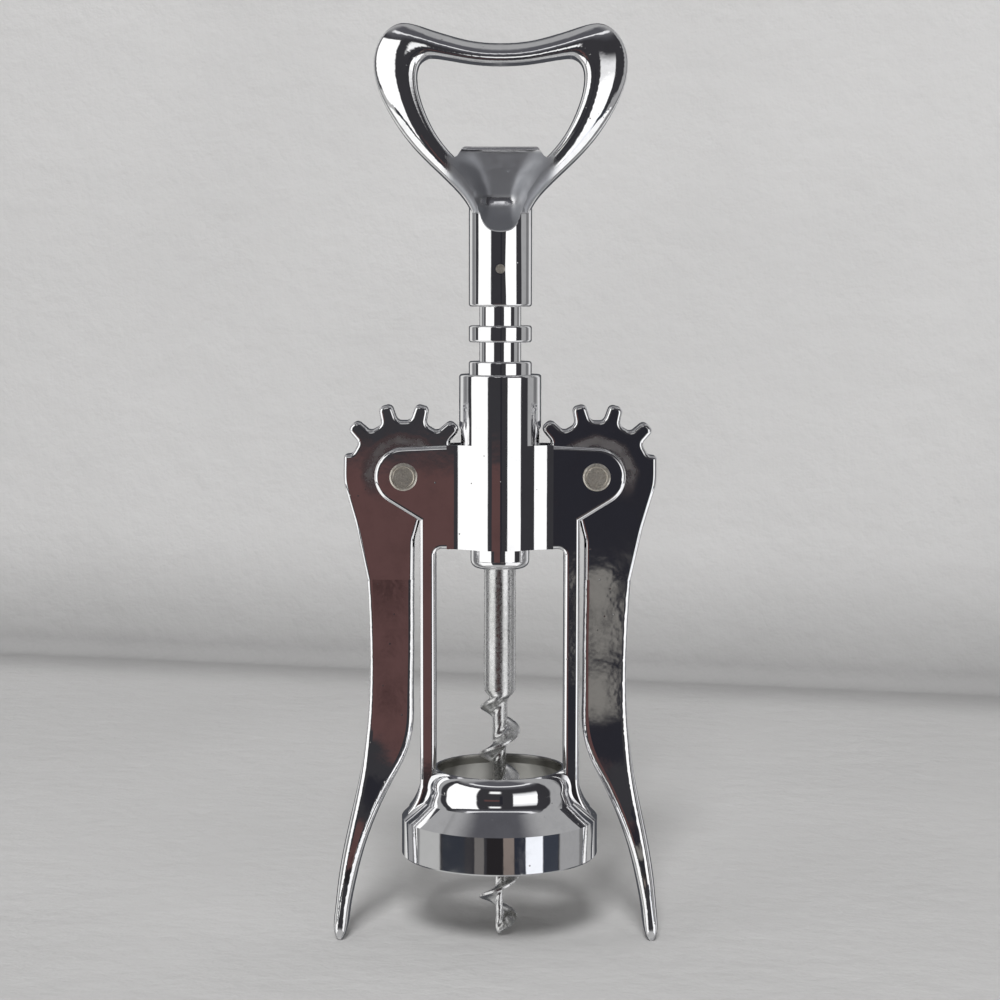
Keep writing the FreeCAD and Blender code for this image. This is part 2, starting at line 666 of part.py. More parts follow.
def screw_section(z, core, crest, half_width):
    """Points round a level section through core and thread."""
    tip = min(THREAD_CREST / 2, half_width / 2)
    offsets = [0.0]
    radii = [crest]
    for share in THREAD_FLANK:
        offsets.append(tip + (half_width - tip) * share)
        radii.append(core + (crest - core) * (1 - share) ** THREAD_HOLLOW)
    rest = WORM_PITCH / 2 - offsets[-1]
    for i in range(CORE_POINTS):
        offsets.append(offsets[-1] + rest / CORE_POINTS)
        radii.append(core)
    offsets = [-offset for offset in reversed(offsets[1:-1])] + offsets
    radii = list(reversed(radii[1:-1])) + radii
    points = []
    for offset, radius in zip(offsets, radii):
        angle = math.radians(360.0 * (z - THREAD_RIGHT_HEIGHT + offset) / WORM_PITCH)
        points.append(Vector(radius * math.cos(angle), radius * math.sin(angle), z))
    return points


def screw_flight():
    """Core and right-hand thread: thick below the shank, thin and run out at the point."""
    top = SHANK_BOTTOM + SHANK_LAP
    neck = SHANK_RADIUS - SHANK_STEP
    count = round((top - WORM_TIP_HEIGHT) / WORM_PITCH * SECTIONS_PER_TURN)
    grid = []
    for i in range(count + 1):
        share = i / count
        z = WORM_TIP_HEIGHT + (top - WORM_TIP_HEIGHT) * share
        core = WORM_CORE_END_RADIUS + (WORM_CORE_RADIUS - WORM_CORE_END_RADIUS) * share
        core = neck + (core - neck) * eased((SHANK_BOTTOM - z) / SHANK_TAPER)
        crest = neck + (WORM_RADIUS - neck) * eased((SHANK_BOTTOM - z) / (WORM_PITCH / 2))
        point = math.sin(min(1.0, (z - WORM_TIP_HEIGHT) / WORM_TIP_TAPER) * math.pi / 2)
        point = WORM_POINT + (1 - WORM_POINT) * point
        core += (crest - core) * (1 - point) / 2
        root = THREAD_ROOT_END + (THREAD_ROOT - THREAD_ROOT_END) * share
        grid.append(screw_section(z, core * point, crest * point, root / 2))
    return skinned(grid)


def worm():
    """Screw: spindle and round shank above, thread and point below."""
    shank = turned(rounded_edges([
        (0, SHANK_BOTTOM, 0),
        (SHANK_RADIUS, SHANK_BOTTOM, 0),
        (SHANK_RADIUS, SHANK_TOP, 0),
        (SPINDLE_RADIUS, SHANK_TOP, 0),
        (SPINDLE_RADIUS, SOCKET_TOP - SIDE_PLAY, 0),
        (0, SOCKET_TOP - SIDE_PLAY, 0),
    ]))
    hole = cross_rod(PIN_RADIUS + SEAT_FIT, 4 * SPINDLE_RADIUS, 0, PIN_Z)
    return one_solid(shank.fuse(screw_flight()).cut(hole))


# ---- handle -------------------------------------------------------------------------------------
# Stations round the right half of the loop, from the neck to the middle of the top bar: x and height of
# the outer edge, x and height of the inner edge, the bar's thickness, and how square its section is. The x
# are shares of the loop's half width, the heights of its height, and the thickness of its thickness.
LOOP_STATIONS = [
    (0.212, -0.085, 0.100, -0.060, 1.02, 0.9),
    (0.257, 0.036, 0.128, 0.080, 1.16, 1.0),
    (0.384, 0.141, 0.245, 0.211, 1.12, 1.0),
    (0.506, 0.220, 0.376, 0.303, 1.05, 0.95),
    (0.678, 0.335, 0.510, 0.414, 0.99, 0.75),
    (0.890, 0.535, 0.630, 0.590, 0.95, 0.35),
    (0.994, 0.708, 0.662, 0.706, 0.92, 0.05),
    (1.000, 0.835, 0.648, 0.770, 0.90, 0.0),
    (0.914, 0.951, 0.600, 0.805, 0.88, 0.0),
    (0.776, 1.000, 0.550, 0.815, 0.87, 0.0),
    (0.633, 0.981, 0.490, 0.812, 0.86, 0.0),
    (0.478, 0.949, 0.400, 0.803, 0.84, 0.0),
    (0.245, 0.908, 0.225, 0.785, 0.83, 0.0),
    (0.0, 0.895, 0.0, 0.776, 0.83, 0.0),
]
LOOP_SECTIONS = 41
# Front half of a section across the bar, from its outer edge to its inner side: across as a share of the
# half width, and forwards as a share of half the thickness. The slim one has a long outer slope.
SLIM_SECTION = [
    (1.0, 0.0),
    (0.955, 0.16),
    (0.82, 0.33),
    (0.58, 0.55),
    (0.28, 0.76),
    (-0.02, 0.90),
    (-0.32, 0.98),
    (-0.58, 1.0),
    (-0.81, 0.91),
    (-0.95, 0.66),
    (-1.0, 0.25),
]
SQUARE_SECTION = [
    (1.0, 0.0),
    (0.98, 0.33),
    (0.88, 0.63),
    (0.68, 0.84),
    (0.42, 0.94),
    (0.15, 0.98),
    (-0.14, 1.0),
    (-0.42, 1.0),
    (-0.72, 0.95),
    (-0.93, 0.74),
    (-1.0, 0.3),
]
BAR_CROWN = 0.35            # where the web's face runs into the bar, as a share of its width from inside

# Stations up the web's face, which begins as the hollow in the neck: height above where the loop leaves
# the neck, half width, and half of the thickness in the middle and at the sides. They are shares of the
# loop's height, of its half width, and of half of the web's and of half of the loop's thickness.
WEB_STATIONS = [
    (-0.1170, 0.225, 4.00, 2.11),
    (-0.1003, 0.225, 3.53, 1.94),
    (-0.0836, 0.225, 3.20, 1.81),
    (-0.0557, 0.225, 2.62, 1.67),
    (-0.0111, 0.225, 1.85, 1.50),
    (0.0446, 0.221, 1.32, 1.22),
    (0.1003, 0.224, 1.09, 1.16),
    (0.1504, 0.265, 1.00, 1.143),
    (0.1950, 0.310, 1.00, 1.107),
    (0.2396, 0.377, 1.02, 1.07),
    (0.2813, 0.437, 1.13, 1.04),
    (0.3092, 0.473, 1.22, 1.025),
    (0.3315, 0.502, 1.18, 1.01),
    (0.3454, 0.521, 1.00, 0.99),
    (0.3538, 0.531, 0.74, 0.92),
]
WEB_SECTIONS = 35
WEB_POINTS = 11             # across the web's face
WEB_FLAT = 0.3              # share of the face that is flat, before it swells towards the bars


def loop_rows():
    """The stations all round the loop in millimetres, with its far half mirrored from the near one."""
    rows = []
    for outer_x, outer_z, inner_x, inner_z, share, square in LOOP_STATIONS:
        rows.append((outer_x * LOOP_HALF_WIDTH, LOOP_Z + outer_z * LOOP_HEIGHT, inner_x * LOOP_HALF_WIDTH,
                     LOOP_Z + inner_z * LOOP_HEIGHT, share * LOOP_THICKNESS, square))
    rows += [(-row[0], row[1], -row[2], *row[3:]) for row in reversed(rows[:-1])]
    return rows


def loop_section(outer_x, outer_z, inner_x, inner_z, thickness, square):
    """Points round a section across the loop's bar, between its outer and inner edge."""
    outer = in_front_plane(outer_x, outer_z)
    centre = (outer + in_front_plane(inner_x, inner_z)) * 0.5
    across = outer - centre
    half = []
    for (slim_u, slim_v), (square_u, square_v) in zip(SLIM_SECTION, SQUARE_SECTION):
        half.append((slim_u + (square_u - slim_u) * square, slim_v + (square_v - slim_v) * square))
    around = half + [(u, -v) for u, v in reversed(half[1:])]
    return [centre + across * u - BACK * (v * thickness / 2) for u, v in around]


def loop():
    """The opener's loop, as one bar from the neck round to the neck again."""
    return skinned([loop_section(*row) for row in in_between(loop_rows(), LOOP_SECTIONS)])


def web_section(_, z, half_width, middle, side, __):
    """Points round a level section: a thin middle that swells, front and back, towards both bars."""
    face = []
    for i in range(WEB_POINTS):
        share = 2 * i / (WEB_POINTS - 1) - 1
        swell = eased((abs(share) - WEB_FLAT) / (1 - WEB_FLAT))
        face.append((share * half_width, middle + (side - middle) * swell))
    around = [(x, -y) for x, y in face] + [(half_width, 0)] + [(x, y) for x, y in reversed(face)]
    around.append((-half_width, 0))
    return [Vector(x, y, z) for x, y in around]


def web_body():
    """What the faces of web and hollow enclose, before it is cut to an outline."""
    rows = []
    for height, half_width, middle, side in WEB_STATIONS:
        rows.append((0, LOOP_Z + height * LOOP_HEIGHT, half_width * LOOP_HALF_WIDTH,
                     middle * WEB_THICKNESS / 2, side * LOOP_THICKNESS / 2, 0))
    return skinned([web_section(*row) for row in in_between(rows, WEB_SECTIONS)])


def crown_line():
    """Corners along the right bar, from its foot up, where the web's face runs into it."""
    corners = []
    for outer_x, outer_z, inner_x, inner_z, _, __ in loop_rows()[1:5]:
        x = inner_x + (outer_x - inner_x) * BAR_CROWN
        z = inner_z + (outer_z - inner_z) * BAR_CROWN
        corners.append((x, z, 0))
    return corners


def both_sides(right, thickness):
    """Plate of an outline given by the corners of its right half, from the bottom up."""
    left = [(-x, z, radius) for x, z, radius in reversed(right)]
    return plate(rounded_edges(right + left), thickness)


def web(body):
    """Web between the lower bars, whose upper lip catches a crown cap."""
    outline_plate = both_sides([(RING_RADIUS / 2, LOOP_Z + WEB_FOOT, 0)] + crown_line() + [
        (NOTCH_X, NOTCH_Z - NOTCH_RADIUS / 2, NOTCH_RADIUS),
        (LIP_HALF_LENGTH + LIP_SLOPE, NOTCH_Z, NOTCH_RADIUS / 2),
        (LIP_HALF_LENGTH, LIP_TOP, LIP_ROUND),
    ], 2 * RING_RADIUS)
    return outline_plate.common(body)


def hollow(body):
    """What the hollow takes out of the neck and the bars, in front of the web's face and behind it."""
    crown = crown_line()
    outline_plate = both_sides([
        (0.8 * TONGUE_HALF_WIDTH, LOOP_Z - TONGUE_DEPTH * LOOP_HEIGHT, TONGUE_ROUND),
        (TONGUE_HALF_WIDTH, (LOOP_Z + crown[0][1]) / 2, 2.0),
        ((2 * crown[0][0] + crown[1][0]) / 3, (2 * crown[0][1] + crown[1][1]) / 3, 0),
        crown[1],
        crown[2],
        (NOTCH_X - NOTCH_RADIUS / 2, NOTCH_Z, 0),
        (NOTCH_X - NOTCH_RADIUS / 2, LIP_TOP + 1, 0),
    ], 4 * RING_RADIUS)
    return outline_plate.cut(body)


def handle():
    """Neck, loop and web as one casting, bored from below for the spindle."""
    neck = turned(rounded_edges([
        (0, NECK_Z, 0),
        (RING_RADIUS, NECK_Z, NECK_EDGE),
        (RING_RADIUS, LOOP_Z + NECK_RISE, NECK_SHOULDER),
        (0, LOOP_Z + NECK_RISE, 0),
    ]))
    body = web_body()
    shape = neck.fuse(loop()).cut(hollow(body)).fuse(web(body))
    return one_solid(shape.cut([
        rod(SPINDLE_RADIUS + SEAT_FIT, NECK_Z - 1, SOCKET_TOP),
        cross_rod(PIN_RADIUS + SEAT_FIT, 4 * RING_RADIUS, 0, PIN_Z),
    ]))


def handle_pin():
    """Cross-pin through neck and spindle, its ends flush with the neck."""
    pin = cross_rod(PIN_RADIUS, 4 * RING_RADIUS, 0, PIN_Z)
    return pin.common(rod(RING_RADIUS, NECK_Z, LOOP_Z))


# ---- write the pieces ---------------------------------------------------------------------------

def main():
    left = lever()
    pieces = {
        "frame": frame(),
        "rivet_left": rivet_at(-1),
        "rivet_right": rivet_at(1),
        "lever_left": left,
        "lever_right": right_lever(left),
        "rack": rack(),
        "worm_nut": worm_nut(),
        "worm": worm(),
        "handle": handle(),
        "handle_pin": handle_pin(),
    }
    os.makedirs("parts", exist_ok=True)
    for name, shape in pieces.items():
        shape.exportStep(os.path.join("parts", name + ".step"))
        print(name, "valid" if shape.isValid() else "NOT VALID", round(shape.Volume, 1))


main()
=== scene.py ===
import math

import bpy
from mathutils import Matrix, Vector

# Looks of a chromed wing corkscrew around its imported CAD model. Metres, +Z up, -Y is the front.

# ---- camera and stage ---------------------------------------------------------------------------

SENSOR_WIDTH = 36.0          # millimetres, as the camera has it
IMAGE_PIXELS = 1000
FOCAL_PIXELS = 2215.7        # focal length in pixels of the image
EYE = Vector((0.0, -0.427, 0.12468))
LOOK_AT = Vector((0.0, 0.0, 0.08614))
CAMERA_ROLL = 0.1            # degrees, the right side of the object a little higher

FLOOR_FRONT = -3.0           # the cloth's near end, measured along the floor
FOLD = 0.310                 # where the cloth turns up into the backdrop
FOLD_TURN = -13.8            # degrees, the fold is nearer on the right
FOLD_RADIUS = 0.006
CLOTH_HEIGHT = 2.4
CLOTH_HALF_WIDTH = 4.0
CLOTH = (0.530, 0.526, 0.524)
FLOOR_PAINTED_SHADE = 0.83           # of the backdrop's tone: painted shade on the floor
FLOOR_EDGE = 0.012           # height in the fold by which the floor's painted shade has run out
FOLD_PAINTED_SHADE = 0.68            # of the cloth's tone, in the bottom of the fold: painted shade
FOLD_REACH = 0.05            # how far from the fold the painted shade has run out and the cloth has its full tone again
FOLD_STEPS = 8               # facets around the fold
WORLD_LIGHT = 0.20           # soft light from all around

# ---- room that the metal mirrors ----------------------------------------------------------------
# Azimuth from the front, positive to the right, then elevation, both in degrees and as (from, to).
# The third pair is how softly the two edges run out. Colours are linear light.

ROOM_RADIUS = 4.0
ROOM_HEIGHT = 0.10           # of its centre, level with the middle of the object
SURROUNDINGS = (0.40, 0.40, 0.405, 1)
ROOM_LIGHT = 0.904           # strength that all the colours are shown at
ROOM_SEGMENTS = 96
PANELS = [
    # the room's far end and its ceiling, unlit
    ((-101, 84), (-90, 50), (2.0, 6.0), (0.042, 0.041, 0.046, 1)),
    ((-78, 72), (44, 85), (22.0, 8.0), (0.105, 0.105, 0.118, 1)),
    # pale cloth and table in front of the object, seen from its lower parts
    ((-180, -74), (-90, -9), (2.0, 1.5), (0.50, 0.50, 0.495, 1)),
    ((75, 180), (-90, -9), (2.0, 1.5), (0.36, 0.36, 0.365, 1)),
    ((-78, 78), (-90, -40), (2.0, 6.0), (0.46, 0.46, 0.46, 1)),
    # behind the backdrop: a dark wall between two pale doorways
    ((-181, -152), (-60, 62), (3.0, 8.0), (0.075, 0.078, 0.088, 1)),
    ((152, 181), (-60, 62), (3.0, 8.0), (0.075, 0.078, 0.088, 1)),
    ((-147, -128), (-22, 38), (2.0, 3.0), (0.80, 0.80, 0.79, 1)),
    ((130, 146), (-22, 38), (2.0, 3.0), (0.75, 0.75, 0.76, 1)),
    ((-122, -108), (-60, 20), (2.0, 8.0), (0.24, 0.24, 0.245, 1)),
    ((108, 124), (-60, 30), (2.0, 8.0), (0.20, 0.20, 0.205, 1)),
    # two windows, the left one taller, and the bright sills under them
    ((-88, -35), (-13.0, 40), (1.5, 0.4), (1.25, 1.25, 1.24, 1)),
    ((21, 60), (0, 17), (1.0, 7.0), (1.0, 1.0, 1.01, 1)),
    ((21, 60), (-13.0, 6), (1.0, 0.4), (1.25, 1.25, 1.25, 1)),
    ((-106, -33), (-46, -16.4), (2.0, 0.4), (1.15, 1.15, 1.14, 1)),
    ((24, 98), (-46, -16.4), (2.0, 0.4), (1.15, 1.15, 1.16, 1)),
    # what stands on the sills, seen in the bell's band
    ((-70, -41), (-16.3, -13.1), (1.5, 0.3), (0.032, 0.036, 0.047, 1)),
    ((17, 31), (-16.3, -13.1), (0.8, 0.3), (0.030, 0.033, 0.046, 1)),
    ((52, 73), (-16.3, -13.1), (0.8, 0.3), (0.044, 0.050, 0.066, 1)),
    ((31, 52), (-16.6, -12.8), (0.8, 0.3), (1.05, 1.08, 1.14, 1)),
    # lamp above the camera, and a tube under the ceiling
    ((-16, 2), (20, 31), (2.5, 2.5), (1.1, 1.1, 1.1, 1)),
    ((-70, 75), (52, 57), (8.0, 1.5), (0.95, 0.95, 0.97, 1)),
    # red-brown furniture on the left, grey and navy cloth on the right
    ((-23, 0.6), (-13.2, -4.1), (1.2, 0.5), (0.116, 0.062, 0.060, 1)),
    ((-5.2, -3.75), (-16, -11.1), (0.15, 0.3), (0.020, 0.016, 0.018, 1)),
    ((-3.4, -2.95), (-10.3, -8.0), (0.35, 0.9), (0.024, 0.014, 0.014, 1)),
    ((0.6, 5.0), (-13, 9), (0.3, 2.0), (0.024, 0.024, 0.031, 1)),
    ((2.13, 3.5), (-10.15, -7.4), (0.05, 0.3), (0.225, 0.215, 0.200, 1)),
    ((4.5, 17), (-17, -13.2), (0.6, 0.4), (0.24, 0.20, 0.18, 1)),
    ((-29, -18), (-17, -13.2), (0.8, 0.4), (0.17, 0.16, 0.155, 1)),
    ((-15, 4), (-17, -13.3), (0.8, 0.3), (0.022, 0.020, 0.022, 1)),
]


# ---- small helpers ------------------------------------------------------------------------------

class Graph:
    """Shorthand for building a shader's nodes."""

    def __init__(self, tree):
        self.tree = tree

    def add(self, kind, inputs=None, **settings):
        node = self.tree.nodes.new(kind)
        for key, value in settings.items():
            setattr(node, key, value)
        for key, value in (inputs or {}).items():
            if isinstance(value, bpy.types.NodeSocket):
                self.tree.links.new(value, node.inputs[key])
            else:
                node.inputs[key].default_value = value
        return node

    def math(self, operation, a, b=0.0):
        return self.add("ShaderNodeMath", {0: a, 1: b}, operation=operation).outputs[0]

    def vector(self, operation, a, b=(0, 0, 0)):
        return self.add("ShaderNodeVectorMath", {0: a, 1: b}, operation=operation).outputs

    def parts(self, vector):
        return self.add("ShaderNodeSeparateXYZ", {0: vector}).outputs

    def noise(self, vector, scale, detail=2.0, roughness=0.5):
        node = self.add("ShaderNodeTexNoise",
                        {"Vector": vector, "Scale": scale, "Detail": detail, "Roughness": roughness})
        return node.outputs[0]

    def run(self, value, low, high, to_low=0.0, to_high=1.0):
        """The value carried smoothly from one range to another, held at its ends."""
        node = self.add("ShaderNodeMapRange",
                        {"Value": value, "From Min": low, "From Max": high,
                         "To Min": to_low, "To Max": to_high},
                        interpolation_type="SMOOTHSTEP", clamp=True)
        return node.outputs["Result"]

    def between(self, value, low, high, soft):
        """1 between two values, running out to 0 around them."""
        rise = self.run(value, low - soft, low + soft)
        fall = self.run(value, high - soft, high + soft, 1.0, 0.0)
        return self.math("MULTIPLY", rise, fall)

    def both(self, *shares):
        product = shares[0]
        for share in shares[1:]:
            product = self.math("MULTIPLY", product, share)
        return product

    def mix(self, share, first, second):
        """Colour between two, at a share from 0 to 1."""
        node = self.add("ShaderNodeMix", data_type="RGBA")
        for socket, value in (("Factor_Float", share), ("A_Color", first), ("B_Color", second)):
            target = next(s for s in node.inputs if s.identifier == socket)
            if isinstance(value, bpy.types.NodeSocket):
                self.tree.links.new(value, target)
            else:
                target.default_value = value
        return next(s for s in node.outputs if s.identifier == "Result_Color")

    def blend(self, share, first, second):
        """As mix, for plain numbers."""
        node = self.add("ShaderNodeMix", {0: share, 2: first, 3: second}, data_type="FLOAT")
        return node.outputs[0]

    def bump(self, height, distance, strength, normal=None):
        inputs = {"Height": height, "Distance": distance, "Strength": strength}
        if normal is not None:
            inputs["Normal"] = normal
        return self.add("ShaderNodeBump", inputs).outputs[0]


def empty_graph(owner):
    """Graph of a material's or world's nodes, cleared."""
    owner.use_nodes = True
    owner.node_tree.nodes.clear()
    return Graph(owner.node_tree)


def new_material(name):
    material = bpy.data.materials.new(name)
    return material, empty_graph(material)


# ---- materials ----------------------------------------------------------------------------------

# Places on the object that a finish depends on.
PIVOT_X = 0.01852
PIVOT_Z = 0.09090
HAZE_RING = (0.0062, 0.0086) # around a pivot, just outside the ear
BELL_RIM = 0.0339
NECK_RADIUS = 0.00605
LOOP_FOOT = 0.1412           # where the loop leaves the neck
HOLLOW_BOTTOM = 0.1366       # of the tongue-shaped hollow in the neck
WEB_TOP = 0.1528
WEB_HALF_WIDTH = 0.0115
BULGE = 0.00036              # how far the hollow's bulge stands out
BULGE_FOOT = LOOP_FOOT + 0.0008
BULGE_TOP = LOOP_FOOT + 0.0036
EDGE = 0.0006                # over which a duller place on the handle runs out

# Colours of the metals, clean and then marked by wear or dirt, and the opener web's darker colour,
# which is painted shade.
CHROME = (0.95, 0.95, 0.96, 1)
HAZED_CHROME = (0.84, 0.84, 0.845, 1)
SPECK = (0.22, 0.21, 0.19, 1)
BARE_BELL = (0.36, 0.355, 0.335, 1)
RUBBED_CHROME = (0.82, 0.81, 0.80, 1)
# painted shade: the opener's web drawn far darker than the chrome of the bars
WEB_PAINTED_SHADE = (0.47, 0.48, 0.51, 1)
STEEL = (0.80, 0.80, 0.80, 1)
STREAKED_STEEL = (0.60, 0.60, 0.59, 1)
NICKEL = (0.88, 0.84, 0.76, 1)
TARNISHED_NICKEL = (0.58, 0.53, 0.45, 1)


def place(graph):
    """Where a point lies on the object, in metres in the shared frame."""
    return graph.add("ShaderNodeTexCoord").outputs["Object"]


def facing(graph):
    """Which way the surface faces there."""
    return graph.add("ShaderNodeTexCoord").outputs["Normal"]


def metal(graph, colour, roughness, normal):
    shader = graph.add("ShaderNodeBsdfPrincipled", {
        "Metallic": 1.0, "Base Color": colour, "Roughness": roughness, "Normal": normal})
    graph.add("ShaderNodeOutputMaterial", {"Surface": shader.outputs[0]})


def inside_bell(graph, at):
    """The bell's inner face, which the plating hardly reached."""
    x, y, z = graph.parts(at)
    nx, ny, _ = graph.parts(facing(graph))
    outwards = graph.math("ADD", graph.math("MULTIPLY", x, nx), graph.math("MULTIPLY", y, ny))
    inner = graph.run(outwards, -0.002, -0.0035)
    return graph.math("MULTIPLY", inner, graph.run(z, BELL_RIM, BELL_RIM - 0.0008))


def web_with_painted_shade(graph, at):
    """Faces of the opener's web and of the hollow under it, less polished than the bars and darkened
    by painted shade.
    """
    x, _, z = graph.parts(at)
    _, ny, _ = graph.parts(facing(graph))
    flat = graph.run(graph.math("ABSOLUTE", ny), 0.35, 0.65)
    wide = graph.run(graph.math("ABSOLUTE", x), WEB_HALF_WIDTH, WEB_HALF_WIDTH - 0.003)
    web = graph.math("MULTIPLY", wide, graph.between(z, LOOP_FOOT, WEB_TOP, EDGE))
    from_axis = graph.vector("LENGTH", graph.vector("MULTIPLY", at, (1, 1, 0))[0])["Value"]
    hollow = graph.math("MULTIPLY", graph.run(from_axis, NECK_RADIUS - 0.0001, NECK_RADIUS - 0.0003),
                        graph.between(z, HOLLOW_BOTTOM, LOOP_FOOT + 0.001, EDGE))
    outside_bulge = graph.math("SUBTRACT", 1.0, still_polished(graph, at))
    return graph.both(flat, outside_bulge, graph.math("MAXIMUM", web, hollow))


def still_polished(graph, at):
    """The bulge's upper side, which keeps its polish."""
    x, _, z = graph.parts(at)
    return graph.both(graph.between(x, -0.0040, 0.0030, 0.0016),
                      graph.between(z, BULGE_FOOT + EDGE, BULGE_TOP - EDGE, 0.0008))


def web_relief(graph, at):
    """Height of the bulge at the hollow's upper end, which falls off towards the web."""
    x, _, z = graph.parts(at)
    near = graph.run(graph.math("ABSOLUTE", x), 0.0078, 0.0062)
    bulge = graph.run(z, BULGE_FOOT, BULGE_TOP, BULGE, 0.0)
    return graph.math("MULTIPLY", near, bulge)


def rubbed_hub(graph, at):
    """Haze on a wing's hub, around the ear that it turns against."""
    x, _, z = graph.parts(at)
    away = graph.add("ShaderNodeCombineXYZ", {
        "X": graph.math("SUBTRACT", graph.math("ABSOLUTE", x), PIVOT_X),
        "Z": graph.math("SUBTRACT", z, PIVOT_Z)}).outputs[0]
    from_pivot = graph.vector("LENGTH", away)["Value"]
    ragged = graph.math("MULTIPLY", graph.noise(at, 420.0, 3.0), 0.0016)
    ring = graph.between(graph.math("ADD", from_pivot, ragged), *HAZE_RING, 0.0009)
    above = graph.run(z, PIVOT_Z - 0.006, PIVOT_Z + 0.001)
    return graph.both(ring, above, graph.run(graph.noise(at, 200.0, 2.0), 0.1, 0.6))


def chrome(name, dull=None, dull_and_shaded_colour=None, dull_roughness=None, relief=None):
    """Plated castings: soft waves, a few fine specks and a little haze.

    dull gives the share of a duller place with a colour and roughness of its own, and relief the
    height of a form that stands out, in metres. On the handle's web that colour is painted shade.
    """
    material, graph = new_material(name)
    at = place(graph)
    waves = graph.noise(at, 70.0, 1.0)
    ripple = graph.noise(at, 380.0, 2.0)
    specks = graph.add("ShaderNodeTexVoronoi", {"Vector": at, "Scale": 520.0, "Randomness": 1.0})
    chosen = graph.run(graph.noise(at, 240.0, 1.0), 0.58, 0.66)
    speck = graph.math("MULTIPLY", chosen, graph.run(specks.outputs["Distance"], 0.03, 0.10, 1.0, 0.0))
    haze = graph.noise(at, 160.0, 5.0, 0.65)
    roughness = graph.run(haze, 0.45, 0.8, 0.035, 0.10)
    roughness = graph.math("ADD", roughness, graph.math("MULTIPLY", speck, 0.3))
    colour = graph.mix(graph.run(haze, 0.4, 0.8), CHROME, HAZED_CHROME)
    colour = graph.mix(speck, colour, SPECK)
    if dull is not None:
        share = dull(graph, at)
        grain = graph.noise(at, 900.0, 4.0, 0.6)
        # on the handle's web this darker colour is painted shade
        colour = graph.mix(share, colour, dull_and_shaded_colour)
        uneven = graph.run(grain, 0.3, 0.7, 0.92 * dull_roughness, 1.08 * dull_roughness)
        roughness = graph.blend(share, roughness, uneven)
    normal = graph.bump(waves, 0.0004, 0.15)
    normal = graph.bump(ripple, 0.00004, 0.15, normal)
    normal = graph.bump(graph.math("MULTIPLY", speck, -1.0), 0.00006, 0.6, normal)
    if relief is not None:
        normal = graph.bump(relief(graph, at), 1.0, 1.0, normal)
    metal(graph, colour, roughness, normal)
    return material


def steel():
    """Ground screw: satin grey, with fine drawn grain along it and a few darker streaks."""
    material, graph = new_material("steel")
    at = place(graph)
    drawn = graph.add("ShaderNodeMapping", {"Vector": at, "Scale": (1.0, 1.0, 0.12)}).outputs[0]
    streaks = graph.noise(drawn, 900.0, 4.0, 0.6)
    grain = graph.noise(at, 1600.0, 3.0, 0.6)
    colour = graph.mix(graph.run(streaks, 0.35, 0.7), STEEL, STREAKED_STEEL)
    roughness = graph.run(grain, 0.3, 0.7, 0.20, 0.36)
    normal = graph.bump(streaks, 0.00004, 0.3)
    normal = graph.bump(grain, 0.00001, 0.3, normal)
    metal(graph, colour, roughness, normal)
    return material


def rivet_metal():
    """Rivets of bare nickel silver: yellowish, grainy and dull."""
    material, graph = new_material("rivet_metal")
    at = place(graph)
    grain = graph.noise(at, 1500.0, 4.0, 0.7)
    colour = graph.mix(graph.run(grain, 0.35, 0.7), NICKEL, TARNISHED_NICKEL)
    roughness = graph.run(grain, 0.3, 0.7, 0.34, 0.52)
    normal = graph.bump(grain, 0.0001, 0.8)
    metal(graph, colour, roughness, normal)
    return material


def finish_nodes(nodes):
    """Gives each CAD node its material."""
    finishes = {
        chrome("frame_chrome", inside_bell, BARE_BELL, 0.30): ["frame"],
        chrome("wing_chrome", rubbed_hub, RUBBED_CHROME, 0.34): ["lever_left", "lever_right"],
        # the web's darker colour on this handle is painted shade
        chrome("handle_chrome", web_with_painted_shade, WEB_PAINTED_SHADE, 0.50, web_relief): ["handle"],
        chrome("chrome"): ["rack", "worm_nut"],
        steel(): ["worm"],
        rivet_metal(): ["rivet_left", "rivet_right", "handle_pin"],
    }
    for material, names in finishes.items():
        for name in names:
            mesh = nodes[name].data
            mesh.materials.clear()
            mesh.materials.append(material)


# ---- stage --------------------------------------------------------------------------------------

def cloth():
    """Pale cloth, matt, seen only from the side that the object is on, with painted shade in the fold
    and on the floor.
    """
    material, graph = new_material("cloth")
    at = place(graph)
    nap = graph.noise(at, 90.0, 4.0, 0.6)
    soft = graph.noise(at, 9.0, 2.0)
    _, y, z = graph.parts(at)
    from_fold = graph.math("ADD", graph.math("ABSOLUTE", y), graph.math("ABSOLUTE", z))
    # painted shade: the cloth darker towards the bottom of the fold
    shade = graph.math("MULTIPLY", graph.run(soft, 0.3, 0.7, 1.0, 0.95),
                       graph.run(from_fold, 0.0, FOLD_REACH, FOLD_PAINTED_SHADE, 1.0))
    # painted shade: the floor drawn darker than the backdrop of the same cloth
    shade = graph.math("MULTIPLY", shade, graph.run(z, 0.0, FLOOR_EDGE, FLOOR_PAINTED_SHADE, 1.0))
    colour = graph.add("ShaderNodeVectorMath", {0: CLOTH, "Scale": shade},
                       operation="SCALE").outputs[0]
    shader = graph.add("ShaderNodeBsdfDiffuse",
                       {"Color": colour, "Normal": graph.bump(nap, 0.004, 0.25)})
    clear = graph.add("ShaderNodeBsdfTransparent")
    behind = graph.add("ShaderNodeNewGeometry").outputs["Backfacing"]
    mixed = graph.add("ShaderNodeMixShader", {0: behind, 1: shader.outputs[0], 2: clear.outputs[0]})
    graph.add("ShaderNodeOutputMaterial", {"Surface": mixed.outputs[0]})
    return material


